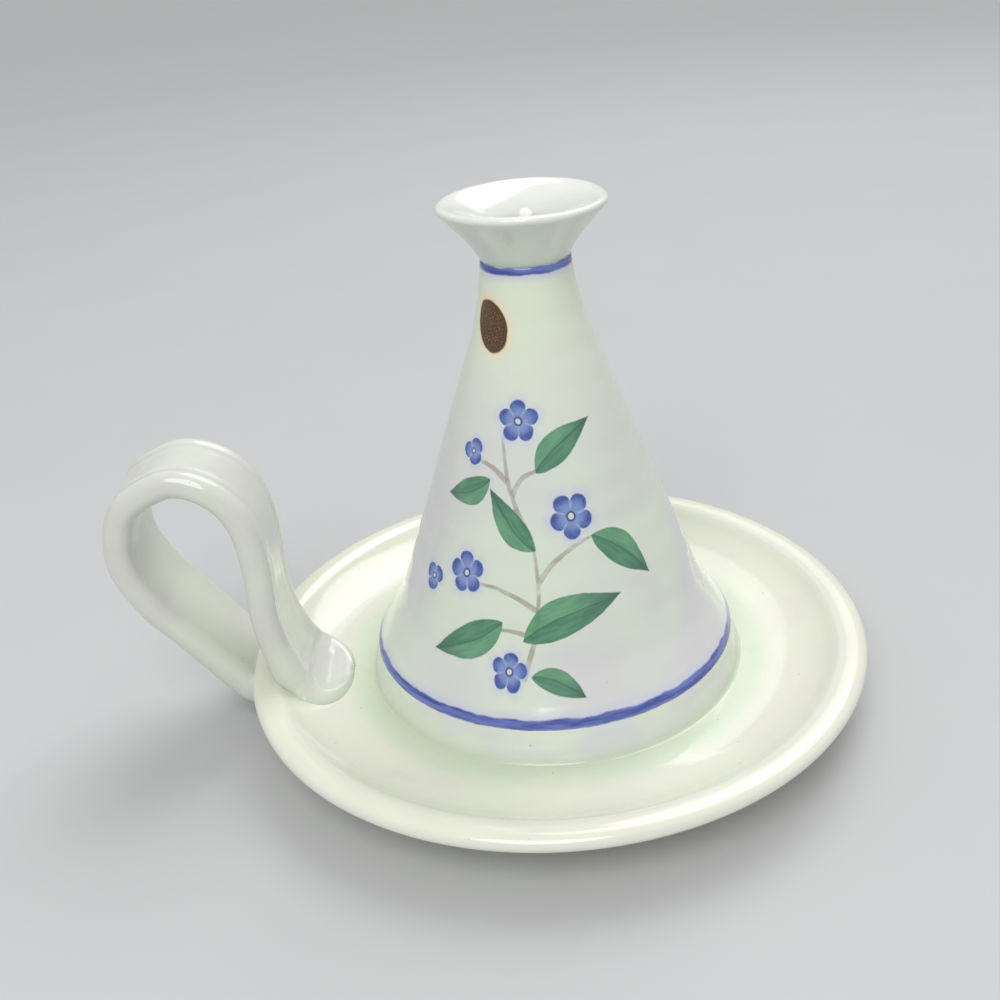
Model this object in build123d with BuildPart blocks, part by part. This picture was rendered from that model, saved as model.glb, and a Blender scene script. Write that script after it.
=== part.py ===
from build123d import *
import os

# Potter's chamberstick in glazed stoneware, in millimetres, +Z up.
# The origin is the middle of the foot ring's resting face, under the axis of the cone.
# The finger loop stands off the saucer's lip towards -X.

# Saucer: the shallow thrown dish that everything is luted to
lip_radius = 95.0  # outside of the rolled lip
lip_height = 20.0  # the lip's edge above the table
lip_width = 8.4  # rolled band between the dish and the outside
lip_thickness = 4.8  # depth of the rounded edge
lip_crown = 0.9  # rise of the band's middle above its edges
dish_depth = 7.6  # floor below the lip
dish_flat_margin = 8.5  # level floor left round the coil at the cone's foot
base_thickness = 6.4
belly_sag = 1.3  # fullness of the underside between foot ring and lip
foot_ring_radius = 62.5
foot_ring_width = 6.0
foot_ring_draft = 0.6  # how much each side of the ring leans in
foot_ring_round = 1.3
foot_joint_round = 2.2

# Cone: the hollow thrown stem, open at both ends
dish_width = 42.0  # from the lip's outside in to the cone's upright foot
skirt_wall = 5.4
foot_edge_lap = 1.9  # how far the flared edge above the coil stands out past the upright foot
foot_edge_height = 9.4  # underside of that edge above the floor
foot_edge_round = 1.1
flare_rise = 19.2  # height that the flared foot takes, above its edge
flare_inset = 10.3  # how far the flare draws in
cone_wall = 4.3
shoulder_drop = 25.0  # height of the curved stretch under the neck
shoulder_spread = 5.6  # how far it spreads out
neck_height = 120.0  # the luting line above the lip
neck_wall = 2.2

# Coil: the roll of clay smoothed into the angle round the cone's foot
coil_toe_width = 1.6
coil_toe_rise = 2.2
coil_lean = 1.7  # how much further out the coil's face is at its foot

# Candle cup: the flared mouth, luted on at the neck
throat_radius = 9.0  # takes the tapered end of a 22 mm dinner candle
throat_wall = 3.3
throat_length = 4.5
cup_height = 14.2  # seat to the middle of the lip's nose
cup_spread = 11.0  # how far the mouth's outside stands out past the neck
cup_lip_wall = 2.8

# Strap handle: one pulled strap, thumbed onto the dish and luted under the lip
strap_width = 32.0
strap_thickness = 8.5
root_width = 33.0
tongue_gap = 6.8  # dish floor left between the tongue's tip and the coil
swell_rise = 21.0  # the height above the floor where the leg stops swelling
leg_inset = 9.7  # the strap's middle inside the lip's outside where it stands upright
loop_reach = 29.2  # the strap's middle beyond the lip's outside, at the furthest
loop_rise = 67.5  # the strap's middle above the lip, at the highest
side_slip = 6.1  # how far the strap's lower end stands to one side of its tongue
fork_fill = 3.0  # clay pressed into the fork above the lip

# Heights and radii that the pieces share
floor_height = lip_height - dish_depth
recess_height = floor_height - base_thickness
skirt_radius = lip_radius - dish_width
foot_edge_radius = skirt_radius + foot_edge_lap
coil_top = floor_height + foot_edge_height
coil_toe_radius = foot_edge_radius + coil_lean + coil_toe_width
dish_flat_radius = coil_toe_radius + dish_flat_margin
lip_inner_radius = lip_radius - lip_width
neck_level = lip_height + neck_height
neck_radius = throat_radius + throat_wall
cup_radius = neck_radius + cup_spread

# The saucer's outline: floor, dish wall, rolled lip, belly, foot ring and the hollow inside it
lip_edge_share = 0.22
nose_drop_share = 0.42
under_lip_share = 0.92
under_edge_share = 0.34

with BuildPart() as saucer:
    with BuildSketch(Plane.XZ):
        with BuildLine():
            floor = Line((0, floor_height), (dish_flat_radius, floor_height))
            wall = TangentArc(floor @ 1, (lip_inner_radius, lip_height), tangent=floor % 1)
            lip_edge = (lip_radius - lip_edge_share * lip_thickness, lip_height)
            lip_crest = ((lip_inner_radius + lip_edge[0]) / 2, lip_height + lip_crown)
            under_lip = (
                lip_radius - under_edge_share * lip_thickness,
                lip_height - under_lip_share * lip_thickness,
            )
            crown = ThreePointArc(wall @ 1, lip_crest, lip_edge)
            nose_middle = (lip_radius, lip_height - nose_drop_share * lip_thickness)
            nose = ThreePointArc(crown @ 1, nose_middle, under_lip)
            belly_middle = (
                (under_lip[0] + foot_ring_radius) / 2 + belly_sag / 2,
                (under_lip[1] + recess_height) / 2 - belly_sag,
            )
            ring_top = (foot_ring_radius, recess_height)
            belly = ThreePointArc(nose @ 1, belly_middle, ring_top)
            ring_inside = foot_ring_radius - foot_ring_width
            underside = Polyline(
                belly @ 1,
                (foot_ring_radius - foot_ring_draft, 0),
                (ring_inside, 0),
                (ring_inside - foot_ring_draft, recess_height),
                (0, recess_height),
                floor @ 0,
            )
        make_face()
    revolve(axis=Axis.Z)
    hoops = saucer.edges().filter_by(Plane.XY).group_by(Axis.Z)
    fillet(hoops[1], radius=foot_joint_round)
    hoops = saucer.edges().filter_by(Plane.XY).group_by(Axis.Z)
    fillet(hoops[0], radius=foot_ring_round)

saucer.part.label = "saucer"

# The cone's outline: upright foot, flared edge, straight side and curved shoulder
with BuildPart() as stem_cone:
    with BuildSketch(Plane.XZ):
        with BuildLine():
            skirt = Polyline(
                (skirt_radius, floor_height),
                (skirt_radius, coil_top),
                (foot_edge_radius, coil_top),
                (foot_edge_radius, coil_top + foot_edge_round),
            )
            side_foot = (foot_edge_radius - flare_inset, coil_top + flare_rise)
            side_top = (neck_radius + shoulder_spread, neck_level - shoulder_drop)
            side = Line(side_foot, side_top)
            flare = TangentArc(side @ 0, skirt @ 1, tangent=-(side % 0))
            shoulder = TangentArc(side @ 1, (neck_radius, neck_level), tangent=side % 1)
            lean = Vector(side_top[0] - side_foot[0], side_top[1] - side_foot[1]).normalized()
            inward = Vector(-lean.Y, lean.X) * cone_wall
            bore_foot = Vector(*side_foot) + inward
            bore_top = Vector(*side_top) + inward
            seat = Line(shoulder @ 1, (neck_radius - neck_wall, neck_level))
            inner_side = Line(bore_top, bore_foot)
            inner_shoulder = TangentArc(inner_side @ 0, seat @ 1, tangent=-(inner_side % 0))
            inner_foot = (skirt_radius - skirt_wall, floor_height)
            inner_flare = TangentArc(inner_side @ 1, inner_foot, tangent=inner_side % 1)
            Line(inner_flare @ 1, skirt @ 0)
        make_face()
    revolve(axis=Axis.Z)

stem_cone.part.label = "stem_cone"

# The coil: its face leans out from the flared edge and ends in a small hollow toe
with BuildPart() as cone_foot_coil:
    with BuildSketch(Plane.XZ):
        with BuildLine():
            bed = Polyline(
                (coil_toe_radius, floor_height),
                (skirt_radius, floor_height),
                (skirt_radius, coil_top),
                (foot_edge_radius, coil_top),
            )
            face = Line(bed @ 1, (foot_edge_radius + coil_lean, floor_height + coil_toe_rise))
            TangentArc(face @ 1, bed @ 0, tangent=face % 1)
        make_face()
    revolve(axis=Axis.Z)

cone_foot_coil.part.label = "cone_foot_coil"

# The cup's outline rises from the neck and opens like a trumpet: shares of its spread and height
cup_out_shares = [(0.10, 0.235), (0.34, 0.48), (0.68, 0.71)]
cup_foot_lean = 0.2
cup_mouth_lean = 1.05

with BuildPart() as candle_cup:
    with BuildSketch(Plane.XZ):
        with BuildLine():
            nose_middle = Vector(cup_radius - cup_lip_wall / 2, neck_level + cup_height)
            outwards = Vector(cup_mouth_lean, 1).normalized() * (cup_lip_wall / 2)
            downwards = Vector(outwards.Y, -outwards.X)
            lip_out = nose_middle + downwards
            out_spread = lip_out.X - neck_radius
            out_rise = lip_out.Y - neck_level
            out_points = [
                (neck_radius + a * out_spread, neck_level + b * out_rise) for a, b in cup_out_shares
            ]
            outside = Spline(
                (neck_radius, neck_level),
                *out_points,
                lip_out,
                tangents=[(cup_foot_lean, 1), (cup_mouth_lean, 1)],
            )
            nose = ThreePointArc(outside @ 1, nose_middle + outwards, nose_middle - downwards)
            inside = Spline(
                nose @ 1,
                (throat_radius, neck_level + throat_length),
                tangents=[(-cup_mouth_lean, -1), (0, -1)],
            )
            Polyline(inside @ 1, (throat_radius, neck_level), outside @ 0)
        make_face()
    revolve(axis=Axis.Z)

candle_cup.part.label = "candle_cup"

# The strap's middle line: the tongue on the dish, the upright leg, the loop, and the root under
# the lip. Tongue rows hold the shares of the tongue's run inwards from the leg and of the
# swell's rise, of the root's width, of the strap's thickness and of the side slip, and last the
# depth of the thumbed hollow as a share of the thickness there.
tongue_share_rows = [
    (1.000, 0.055, 0.26, 0.34, -0.50, 0.10),
    (0.911, 0.085, 0.56, 0.50, -0.50, 0.16),
    (0.724, 0.125, 0.84, 0.68, -0.50, 0.27),
    (0.458, 0.175, 0.98, 0.82, -0.50, 0.31),
    (0.202, 0.300, 0.99, 0.99, -0.50, 0.27),
    (0.103, 0.610, 0.93, 1.13, -0.50, 0.19),
    (0.054, 0.990, 0.95, 1.05, -0.50, 0.14),
]
# Loop rows hold the shares of the loop's run outwards and of its rise, then of the strap's own
# width and thickness and of the side slip.
loop_share_rows = [
    (0.005, 0.356, 1.00, 1.00, -0.49),
    (-0.003, 0.586, 0.97, 1.00, -0.42),
    (0.051, 0.805, 0.96, 1.00, -0.33),
    (0.211, 0.936, 0.93, 1.00, -0.24),
    (0.468, 1.000, 0.89, 1.00, -0.14),
    (0.699, 0.966, 0.89, 1.00, -0.03),
    (0.892, 0.886, 0.95, 1.00, 0.14),
    (0.990, 0.748, 1.01, 1.00, 0.32),
    (0.997, 0.600, 1.03, 1.00, 0.38),
    (0.861, 0.404, 1.03, 1.00, 0.43),
    (0.679, 0.258, 1.02, 1.01, 0.46),
]
# Root rows hold the shares of the lip's width outwards and of its thickness upwards, then of
# the root's width, of the strap's thickness and of the side slip.
root_share_rows = [
    (1.143, 1.56, 0.98, 1.05, 0.48),
    (0.429, -0.21, 0.97, 1.12, 0.50),
    (-0.024, -1.17, 0.98, 1.08, 0.50),
    (-0.524, -1.60, 0.96, 0.76, 0.50),
    (-1.050, -1.54, 0.90, 0.38, 0.50),
]
corner_share = 0.42
channel_depth_share = 0.12
channel_width_share = 0.62
fork_in_share = 0.90
fork_out_share = 0.34
fork_low_share = 0.20
fork_dip_share = 0.80
fork_width_share = 0.80

leg_radius = lip_radius - leg_inset
tongue_run = leg_radius - coil_toe_radius - tongue_gap
loop_run = loop_reach + leg_inset
stations = []
for run, rise, width, thickness, slip, hollow in tongue_share_rows:
    place = (run * tongue_run - leg_radius, slip * side_slip, floor_height + rise * swell_rise)
    stations.append((place, width * root_width, thickness * strap_thickness, hollow))
for run, rise, width, thickness, slip in loop_share_rows:
    place = (-run * loop_run - leg_radius, slip * side_slip, lip_height + rise * loop_rise)
    stations.append((place, width * strap_width, thickness * strap_thickness, channel_depth_share))
for run, rise, width, thickness, slip in root_share_rows:
    place = (-run * lip_width - lip_radius, slip * side_slip, lip_height + rise * lip_thickness)
    stations.append((place, width * root_width, thickness * strap_thickness, channel_depth_share))

with BuildLine() as strap_route:
    strap_middle = Spline(*[station[0] for station in stations])

# Each section is a rounded strap with a shallow channel between the two beaded edges. The
# channel runs along the loop's outside and opens into the thumbed hollow of the tongue.
with BuildPart() as strap_handle:
    for place, width, thickness, hollow in stations:
        at = strap_middle.param_at_point(place)
        across = Plane(strap_middle @ at, x_dir=(0, 1, 0), z_dir=strap_middle % at)
        half_channel = channel_width_share * width / 2
        depth = hollow * thickness
        channel_radius = (half_channel**2 + depth**2) / depth / 2
        with BuildSketch(across):
            RectangleRounded(width, thickness, corner_share * thickness)
            with Locations((0, depth - thickness / 2 - channel_radius)):
                Circle(channel_radius, mode=Mode.SUBTRACT)
    loft()
    # The fork above the lip is filled where both ends of the strap are pressed together
    fork_in = fork_in_share * lip_width - lip_radius
    fork_out = -fork_out_share * lip_width - lip_radius
    fork_top = lip_height + fork_fill
    fork_bed = lip_height - lip_crown
    fork_low = (fork_low_share * lip_width - lip_radius, lip_height + fork_dip_share * fork_fill)
    with BuildSketch(Plane.XZ):
        with BuildLine():
            fork_sides = Polyline(
                (fork_in, fork_top), (fork_in, fork_bed), (fork_out, fork_bed), (fork_out, fork_top)
            )
            ThreePointArc(fork_sides @ 1, fork_low, fork_sides @ 0)
        make_face()
    extrude(amount=fork_width_share * root_width / 2, both=True)
    add(saucer.part, mode=Mode.SUBTRACT)

strap_handle.part.label = "strap_handle"

pieces = [saucer, stem_cone, cone_foot_coil, candle_cup, strap_handle]
os.makedirs("parts", exist_ok=True)
for piece in pieces:
    export_step(piece.part, f"parts/{piece.part.label}.step")
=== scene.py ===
"""Studio picture of a glazed stoneware chamberstick with a pulled finger loop.

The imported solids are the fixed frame. The saucer, the hollow cone, the coil at its foot and the
candle cup are thrown again here with finger rings and softened edges, and the strap is pulled
again with its beaded edges and thumbed tongue. Each piece keeps to its solid's place.
"""

import logging
import math
from collections.abc import Iterable
from dataclasses import dataclass, field
from enum import Enum
from typing import NamedTuple

import bmesh
import bpy
from mathutils import Matrix, Vector, noise
from mathutils.geometry import interpolate_bezier


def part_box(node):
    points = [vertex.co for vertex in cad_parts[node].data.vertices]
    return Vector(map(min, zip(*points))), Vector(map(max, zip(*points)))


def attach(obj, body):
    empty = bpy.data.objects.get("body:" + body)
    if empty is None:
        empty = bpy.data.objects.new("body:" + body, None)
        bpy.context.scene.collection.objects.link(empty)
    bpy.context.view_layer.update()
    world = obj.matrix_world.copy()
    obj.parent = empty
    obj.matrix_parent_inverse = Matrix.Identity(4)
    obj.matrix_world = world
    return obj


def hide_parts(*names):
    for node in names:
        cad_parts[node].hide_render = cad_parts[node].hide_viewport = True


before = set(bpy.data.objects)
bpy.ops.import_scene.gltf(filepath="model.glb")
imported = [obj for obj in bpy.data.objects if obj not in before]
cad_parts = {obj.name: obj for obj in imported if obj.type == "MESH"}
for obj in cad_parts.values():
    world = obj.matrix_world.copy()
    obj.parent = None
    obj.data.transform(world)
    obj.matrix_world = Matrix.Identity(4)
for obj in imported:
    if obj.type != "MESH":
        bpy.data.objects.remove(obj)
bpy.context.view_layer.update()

log = logging.getLogger("chamberstick")

MM = 0.001  # metres in a millimetre
FULL_TURN = 2 * math.pi
QUARTER_HANDLE = 0.5523  # how far a curve's handle lies towards the corner of a quarter circle
MERGE_GAP = MM / 1000  # points closer than this are one
GLAZE_DEPTH_AND_PAINTED_LIGHT = "glaze_depth_and_painted_light"  # the attribute that says where glaze is thin, below 0, or pooled; in the cup, below 0 it also carries painted light

Colour = tuple[float, float, float, float]
Socket = bpy.types.NodeSocket
Feed = float | tuple | Socket
Mesh = bmesh.types.BMesh
Span = tuple[float, ...]
Handles = tuple[Span, Span]


class Slot(Enum):
    """Names of the pieces' glaze slots; each piece keeps one, though nothing here reads it."""

    SAUCER = "saucer_glaze"
    CONE = "cone_glaze"
    POOLED = "pooled_glaze"
    CUP = "cup_glaze"
    HANDLE = "handle_glaze"


class Body(Enum):
    """The bodies that pieces ride on."""

    ROOT = "root"


def dye(red: int, green: int, blue: int) -> Colour:
    """Turns a colour as the eye reads it into the linear one that a shader takes.

    Args:
        red: Red from 0 to 255.
        green: Green from 0 to 255.
        blue: Blue from 0 to 255.

    Returns:
        The linear colour with full opacity.
    """
    parts = [channel / 255 for channel in (red, green, blue)]
    linear = [p / 12.92 if p <= 0.04045 else ((p + 0.055) / 1.055) ** 2.4 for p in parts]
    return linear[0], linear[1], linear[2], 1.0


def mm(*sizes: float) -> Span:
    """Turns sizes in millimetres into metres."""
    return tuple(size * MM for size in sizes)


def ease(value: float, low: float, high: float) -> float:
    """Moves smoothly from 0 at low to 1 at high; low may be the greater one."""
    share = min(1.0, max(0.0, (value - low) / (high - low)))
    return share * share * (3 - 2 * share)


def hump(distance: float, reach: float) -> float:
    """A soft bump, 1 at its middle and near 0 past twice its reach."""
    return math.exp(-((distance / reach) ** 2))


def wave(angle: float, lobes: int, phase: float = 0.0) -> float:
    """A wave round the axis, from 0 to 1, with so many crests."""
    return 0.5 + 0.5 * math.sin(lobes * angle + phase)


def ripple(point: Vector, grain: float) -> float:
    """Smooth unevenness, the same each run, from about -1 to 1, with lumps one grain across."""
    return noise.noise(point / grain)


def polar(place: Vector) -> tuple[float, float]:
    """Distance of a place from the upright axis, and its angle round it."""
    return math.hypot(place.x, place.y), math.atan2(place.y, place.x)


class Outline:
    """A profile in the plane of radius and height, drawn stretch by stretch."""

    def __init__(self, radius: float, height: float) -> None:
        """Starts the profile at one point."""
        self.points = [Vector((radius, 0.0, height))]

    def line(self, radius: float, height: float, parts: int) -> None:
        """Draws a straight stretch.

        Args:
            radius: Radius at its end.
            height: Height at its end.
            parts: How many equal parts it is cut into.
        """
        start, end = self.points[-1], Vector((radius, 0.0, height))
        self.points += [start.lerp(end, step / parts) for step in range(1, parts + 1)]

    def bend(self, leave: Iterable, arrive: Iterable, radius: float, height: float, parts: int) -> None:
        """Draws a curved stretch.

        Args:
            leave: How far out and up its first handle lies from its start.
            arrive: How far out and up its second handle lies from its end.
            radius: Radius at its end.
            height: Height at its end.
            parts: How many parts it is cut into.
        """
        start, end = self.points[-1], Vector((radius, 0.0, height))
        first, second = (Vector((out, 0.0, up)) for out, up in (leave, arrive))
        self.points += interpolate_bezier(start, start + first, end + second, end, parts + 1)[1:]

    def round(self, corner: Span, end: Span, parts: int) -> None:
        """Rounds off a corner.

        Args:
            corner: Radius and height of the corner.
            end: Radius and height where the round ends.
            parts: How many parts it is cut into.
        """
        tip = Vector(corner)
        leave, arrive = ((tip - Vector(knot)) * QUARTER_HANDLE for knot in (self.points[-1].xz, end))
        self.bend(leave, arrive, *end, parts)

    def spin(self, steps: int, closed: bool) -> Mesh:
        """Turns the profile once round the upright axis.

        Args:
            steps: How many steps the turn has.
            closed: Whether the last point joins the first; otherwise both ends are on the axis.

        Returns:
            A closed mesh whose faces point outwards.
        """
        mesh = bmesh.new()
        verts = [mesh.verts.new(point) for point in self.points]
        following = verts[1:] + verts[:1] if closed else verts[1:]
        edges = [mesh.edges.new(pair) for pair in zip(verts, following)]
        bmesh.ops.spin(
            mesh,
            geom=verts + edges,
            cent=(0, 0, 0),
            axis=(0, 0, 1),
            angle=FULL_TURN,
            steps=steps,
            use_merge=True,
        )
        bmesh.ops.remove_doubles(mesh, verts=mesh.verts, dist=MERGE_GAP)
        bmesh.ops.recalc_face_normals(mesh, faces=mesh.faces)
        return mesh


class Brush:
    """Adds shader nodes to one material, and keeps the colour that is painted so far."""

    def __init__(self, name: str, ground: Colour) -> None:
        """Starts an empty material with its surface shader.

        Args:
            name: The material's name.
            ground: The colour that is there before anything is painted.
        """
        self.material = bpy.data.materials.new(name)
        self.material.use_nodes = True
        self.tree = self.material.node_tree
        self.tree.nodes.clear()
        self.shader = self.node("ShaderNodeBsdfPrincipled")
        output = self.node("ShaderNodeOutputMaterial")
        self.tree.links.new(self.shader.outputs["BSDF"], output.inputs["Surface"])
        self.place: Socket = self.node("ShaderNodeTexCoord").outputs["Object"]
        self.shaken: Socket = self.place
        self.colour: Feed = ground

    def node(self, kind: str, **settings: str) -> bpy.types.Node:
        """Adds one node.

        Args:
            kind: Its type.
            **settings: Its properties.

        Returns:
            The node.
        """
        made = self.tree.nodes.new(kind)
        for name, value in settings.items():
            setattr(made, name, value)
        return made

    def put(self, socket: Socket, value: Feed) -> None:
        """Joins a socket to another, or sets its value.

        Args:
            socket: The socket that is fed.
            value: What feeds it.
        """
        if isinstance(value, Socket):
            self.tree.links.new(value, socket)
        else:
            socket.default_value = value

    def dress(self, **values: Feed) -> None:
        """Feeds the surface shader's inputs, each named with an underscore for a space."""
        for name, value in values.items():
            self.put(self.shader.inputs[name.replace("_", " ")], value)

    def sum(self, operation: str, *values: Feed, kind: str = "ShaderNodeMath") -> Socket:
        """Adds a Math node.

        Args:
            operation: What it works out.
            *values: What goes in, in order.
            kind: Its type, which may be a Vector Math node.

        Returns:
            Its result.
        """
        made = self.node(kind, operation=operation)
        for socket, value in zip(made.inputs, values):
            self.put(socket, value)
        return made.outputs[0]

    def share(self, value: Socket, whole: float) -> Socket:
        """What share of a whole a value is, kept from 0 to 1."""
        return self.sum("MINIMUM", self.sum("MAXIMUM", self.sum("MULTIPLY", value, 1 / whole), 0.0), 1.0)

    def rise(self, value: Feed, low: float, high: float, top: float = 1.0) -> Socket:
        """A smooth step.

        Args:
            value: What is read.
            low: Where the step is 0; it may be the greater one.
            high: Where the step is at its top.
            top: How high it goes.

        Returns:
            The step's height.
        """
        made = self.node("ShaderNodeMapRange", interpolation_type="SMOOTHSTEP")
        for socket, part in zip(made.inputs, (value, low, high, 0.0, top)):
            self.put(socket, part)
        return made.outputs[0]

    def blend(self, share: Feed, first: Feed, second: Feed) -> Socket:
        """Mixes two colours.

        Args:
            share: How much of the second shows.
            first: The colour underneath.
            second: The colour on top.

        Returns:
            The mixed colour.
        """
        made = self.node("ShaderNodeMix", data_type="RGBA")
        for place, value in ((0, share), (6, first), (7, second)):
            self.put(made.inputs[place], value)
        return made.outputs[2]

    def shade(self, base: Feed, *layers: tuple) -> Socket:
        """Lays layers of colour one over the other.

        Args:
            base: The colour underneath.
            *layers: For each, what is read, where it is 0 and where it is at its top, how strong
                the layer is there, and its colour.

        Returns:
            The mixed colour.
        """
        for value, low, high, top, colour in layers:
            base = self.blend(self.rise(value, low, high, top), base, colour)
        return base

    def cover(self, *layers: tuple) -> None:
        """Lays layers of colour over what is painted so far."""
        self.colour = self.shade(self.colour, *layers)

    def mottle(self, place: Socket, grain: float, detail: float = 2.0) -> Socket:
        """Soft noise about 0.5.

        Args:
            place: Where it is read.
            grain: Size of its lumps.
            detail: How many finer layers it has.

        Returns:
            The noise.
        """
        made = self.node("ShaderNodeTexNoise")
        self.put(made.inputs["Vector"], place)
        made.inputs["Scale"].default_value = 1 / grain
        made.inputs["Detail"].default_value = detail
        return made.outputs[0]

    def streaks(self, place: Socket, stretch: tuple, grain: float) -> Socket:
        """How much colour the brush's hairs carry, from 0 to 1.

        Args:
            place: Where it is read.
            stretch: How fast it changes along each axis.
            grain: Width of a streak.

        Returns:
            The load.
        """
        drawn = self.sum("MULTIPLY", place, stretch, kind="ShaderNodeVectorMath")
        return self.rise(self.mottle(drawn, grain, 3.0), 0.34, 0.66)

    def relief(self, lumps: Socket, height: float, strength: float = 1.0) -> Socket:
        """Gives the surface fine relief.

        Args:
            lumps: Its lumps.
            height: How high they stand.
            strength: How much of them shows.

        Returns:
            The relief's normals.
        """
        bump = self.node("ShaderNodeBump")
        for name, value in (("Strength", strength), ("Distance", height), ("Height", lumps)):
            self.put(bump.inputs[name], value)
        self.dress(Normal=bump.outputs[0])
        return bump.outputs[0]

    def parts(self, vector: Socket) -> tuple[Socket, ...]:
        """Splits a vector.

        Args:
            vector: What is split.

        Returns:
            Its three parts.
        """
        made = self.node("ShaderNodeSeparateXYZ")
        self.put(made.inputs[0], vector)
        return tuple(made.outputs)

    def turned(self, vector: Socket, angle: float) -> Socket:
        """Turns a vector about the upright axis.

        Args:
            vector: What is turned.
            angle: How far, in degrees.

        Returns:
            The turned vector.
        """
        made = self.node("ShaderNodeVectorRotate", rotation_type="Z_AXIS")
        self.put(made.inputs["Vector"], vector)
        made.inputs["Angle"].default_value = math.radians(angle)
        return made.outputs[0]

    def patch(self, angle: float, height: float, tilt: float) -> tuple[Socket, ...]:
        """Lays a flat patch on the cone's skin for one motif.

        Args:
            angle: The motif's angle round the cone, in degrees.
            height: The motif's height.
            tilt: Which way it points, in degrees: 0 to the right, 90 up.

        Returns:
            The distance along the motif, the distance across it, and both as one vector.
        """
        across, away, height_there = self.parts(self.turned(self.shaken, -90 - angle))
        reach = self.sum("SQRT", self.sum("MULTIPLY_ADD", across, across, self.sum("MULTIPLY", away, away)))
        swing = self.sum("ARCTAN2", across, self.sum("MULTIPLY", away, -1.0))
        flat = self.node("ShaderNodeCombineXYZ")
        self.put(flat.inputs[0], self.sum("MULTIPLY", swing, reach))
        self.put(flat.inputs[1], self.sum("SUBTRACT", height_there, height))
        tilted = self.turned(flat.outputs[0], -tilt)
        return (*self.parts(tilted)[:2], tilted)


@dataclass(frozen=True)
class BareClay:
    """The unglazed buff body that shows where the foot ring was wiped clean."""

    name: str = "bare_clay"
    body: Colour = dye(196, 170, 134)
    iron: Colour = dye(142, 104, 72)
    toasted: Colour = dye(176, 134, 92)
    drift_grain: float = 14 * MM
    grain: float = 0.5 * MM
    grain_height: float = 0.1 * MM
    roughness: float = 0.78

    def make(self) -> bpy.types.Material:
        """Mixes sandy grains and toasted patches into one matt material.

        Returns:
            The material.
        """
        brush = Brush(self.name, self.body)
        drift = brush.mottle(brush.place, self.drift_grain)
        grains = brush.mottle(brush.place, self.grain, 3.0)
        brush.cover((drift, 0.38, 0.66, 1.0, self.toasted), (grains, 0.62, 0.72, 1.0, self.iron))
        brush.dress(Base_Color=brush.colour, Roughness=self.roughness)
        brush.relief(grains, self.grain_height, 0.5)
        return brush.material


@dataclass(frozen=True)
class StonewareGlaze:
    """A glossy off-white glaze: thin on edges, pooled in creases, with drifts and iron specks."""

    name: str
    body: Colour
    thin: Colour
    pooled: Colour
    drift: Colour
    drift_grain: float = 34 * MM
    pool_grain: float = 5 * MM
    speck: Colour = dye(128, 96, 62)
    speck_cell: float = 6 * MM
    speck_radius: float = 0.28 * MM
    roughness: float = 0.13
    rough_spread: float = 0.1
    rough_grain: float = 9 * MM
    peel_grain: float = 3.2 * MM
    peel_height: float = 0.05 * MM
    coat: float = 0.35
    coat_roughness: float = 0.05

    def flow(self, brush: Brush) -> None:
        """Lets the glaze drift, break thin, pool and speck; in the cup its thin colour also lays painted
        light.

        Args:
            brush: The material's nodes.
        """
        drift = brush.mottle(brush.place, self.drift_grain)
        depth = brush.node("ShaderNodeAttribute", attribute_name=GLAZE_DEPTH_AND_PAINTED_LIGHT).outputs["Fac"]
        uneven = brush.sum("MULTIPLY_ADD", brush.mottle(brush.place, self.pool_grain), 0.5, -0.25)
        depth = brush.sum("ADD", depth, brush.sum("MULTIPLY", uneven, brush.sum("ABSOLUTE", depth)))
        cells = brush.node("ShaderNodeTexVoronoi")
        brush.put(cells.inputs["Vector"], brush.place)
        cells.inputs["Scale"].default_value = 1 / self.speck_cell
        size = self.speck_radius / self.speck_cell
        brush.cover(
            (drift, 0.35, 0.68, 1.0, self.drift),
            (depth, 0.0, 1.0, 1.0, self.pooled),
            # Below 0 the glaze breaks thin; in the cup this layer also lays painted light on the inside and
            # lip
            (depth, 0.0, -1.0, 1.0, self.thin),
            (cells.outputs["Distance"], size, size / 3, 0.7, self.speck),
        )

    def paint(self, brush: Brush) -> None:
        """Leaves the plain glaze as it is; a painted glaze adds its brushwork here."""

    def make(self) -> bpy.types.Material:
        """Mixes the whole glaze.

        Returns:
            The material.
        """
        brush = Brush(self.name, self.body)
        self.flow(brush)
        self.paint(brush)
        wear = brush.mottle(brush.place, self.rough_grain, 4.0)
        rough = brush.sum("MULTIPLY_ADD", wear, self.rough_spread, self.roughness - self.rough_spread / 2)
        brush.dress(Base_Color=brush.colour, Roughness=rough)
        brush.dress(Coat_Weight=self.coat, Coat_Roughness=self.coat_roughness)
        peel = brush.mottle(brush.place, self.peel_grain, 1.0)
        brush.dress(Coat_Normal=brush.relief(peel, self.peel_height))
        return brush.material


@dataclass(frozen=True)
class Band:
    """A cobalt band turned on the wheel, bleeding a little into the glaze."""

    height: float
    width: float
    colour: Colour = dye(38, 58, 146)
    weak: Colour = dye(100, 116, 188)
    halo: Colour = dye(196, 200, 226)
    bleed: float = 2.6 * MM
    ragged: float = 0.9 * MM
    grain: float = 4 * MM
    edge: Span = mm(0.25, -0.35)

    def lay(self, brush: Brush) -> None:
        """Paints the band.

        Args:
            brush: The material's nodes.
        """
        off = brush.sum("ABSOLUTE", brush.sum("SUBTRACT", brush.parts(brush.shaken)[2], self.height))
        off = brush.sum("MULTIPLY_ADD", brush.mottle(brush.place, self.grain, 4.0), self.ragged, off)
        off = brush.sum("SUBTRACT", off, self.ragged / 2)
        half, (outer, inner) = self.width / 2, self.edge
        load = brush.streaks(brush.place, (0.3, 0.3, 3.0), self.grain)
        ink = brush.blend(load, self.colour, self.weak)
        brush.cover((off, half + self.bleed, half * 0.6, 0.7, self.halo))
        brush.cover((off, half + outer, half + inner, 0.95, ink))


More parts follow.
